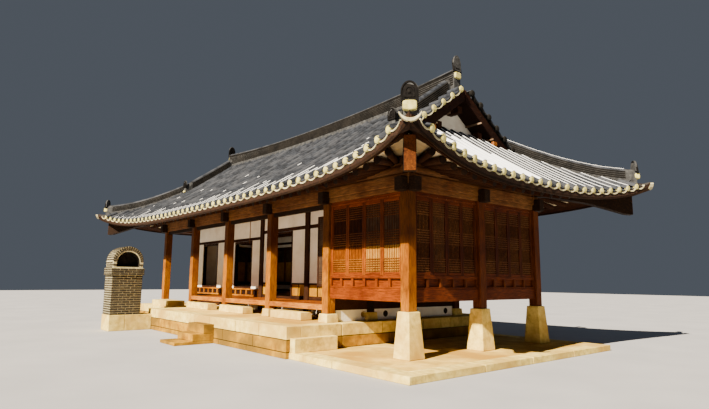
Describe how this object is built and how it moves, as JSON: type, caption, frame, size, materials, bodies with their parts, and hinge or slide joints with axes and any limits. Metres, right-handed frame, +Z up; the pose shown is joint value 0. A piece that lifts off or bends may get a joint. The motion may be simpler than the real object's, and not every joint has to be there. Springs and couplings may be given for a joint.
{
  "type": "traditional timber house",
  "caption": "Traditional timber hanok with a hip-and-gable tiled roof, a raised corner pavilion, an open veranda, a stone platform with steps and a brick flue stack.",
  "frame": {"origin": "on the ground at the centre of the grid of posts", "axes": "+X along the house towards the raised pavilion, +Y towards the rear, +Z up"},
  "size_m": [15.888, 8.6974, 6.597],
  "materials": {
    "timber": "oiled and weathered",
    "dark_timber": "dark, weathered",
    "plaster": "matt lime plaster",
    "granite": "rough dressed stone",
    "tile": "matt unglazed grey clay",
    "brick": "matt grey brick with pale joints"
  },
  "bodies": {
    "house": {"platform": "granite", "lower_slab": "granite", "end_step": "granite", "entry_steps": "granite", "tall_stone_front": "granite", "tall_stone_middle": "granite", "tall_stone_rear": "granite", "flue_base": "granite", "flue_stack": "brick", "front_post_1": "timber", "front_post_2": "timber", "front_post_3": "timber", "front_post_4": "timber", "front_post_5": "timber", "front_post_6": "timber", "right_middle_post": "timber", "rear_right_post": "timber", "rear_pavilion_post": "timber", "rear_left_post": "timber", "front_beam": "timber", "rear_beam": "timber", "right_beam": "timber", "left_beam": "timber", "veranda_floor": "timber", "pavilion_floor": "timber", "room_floor": "granite", "pavilion_front_wall": "timber", "pavilion_rear_wall": "timber", "pavilion_right_wall_1": "timber", "pavilion_right_wall_2": "timber", "underfloor_wall": "plaster", "recessed_wall_2": "plaster", "recessed_wall_3": "plaster", "recessed_wall_4": "plaster", "recessed_wall_5": "plaster", "rear_wall": "plaster", "left_wall": "plaster", "pavilion_doorway": "dark_timber", "roof_front": "tile", "roof_rear": "tile", "roof_right": "tile", "roof_left": "tile", "gable_right": "plaster", "gable_left": "plaster", "main_ridge": "tile", "corner_ridge_right_front": "tile", "angle_rafter_right_front": "timber", "corner_ridge_right_rear": "tile", "angle_rafter_right_rear": "timber", "corner_ridge_left_front": "tile", "angle_rafter_left_front": "timber", "corner_ridge_left_rear": "tile", "angle_rafter_left_rear": "timber", "rafters_front": "timber", "rafters_rear": "timber", "rafters_right": "timber", "rafters_left": "timber"},
    "door_leaf": {"pavilion_door": "dark_timber"}
  },
  "joints": [
    {"name": "pavilion_door_hinge", "type": "hinge", "parent": "house", "child": "door_leaf", "pos_m": [3.525, -1.965, 2.145], "axis": [0, 0, -1], "range_deg": [0, 90]}
  ]
}
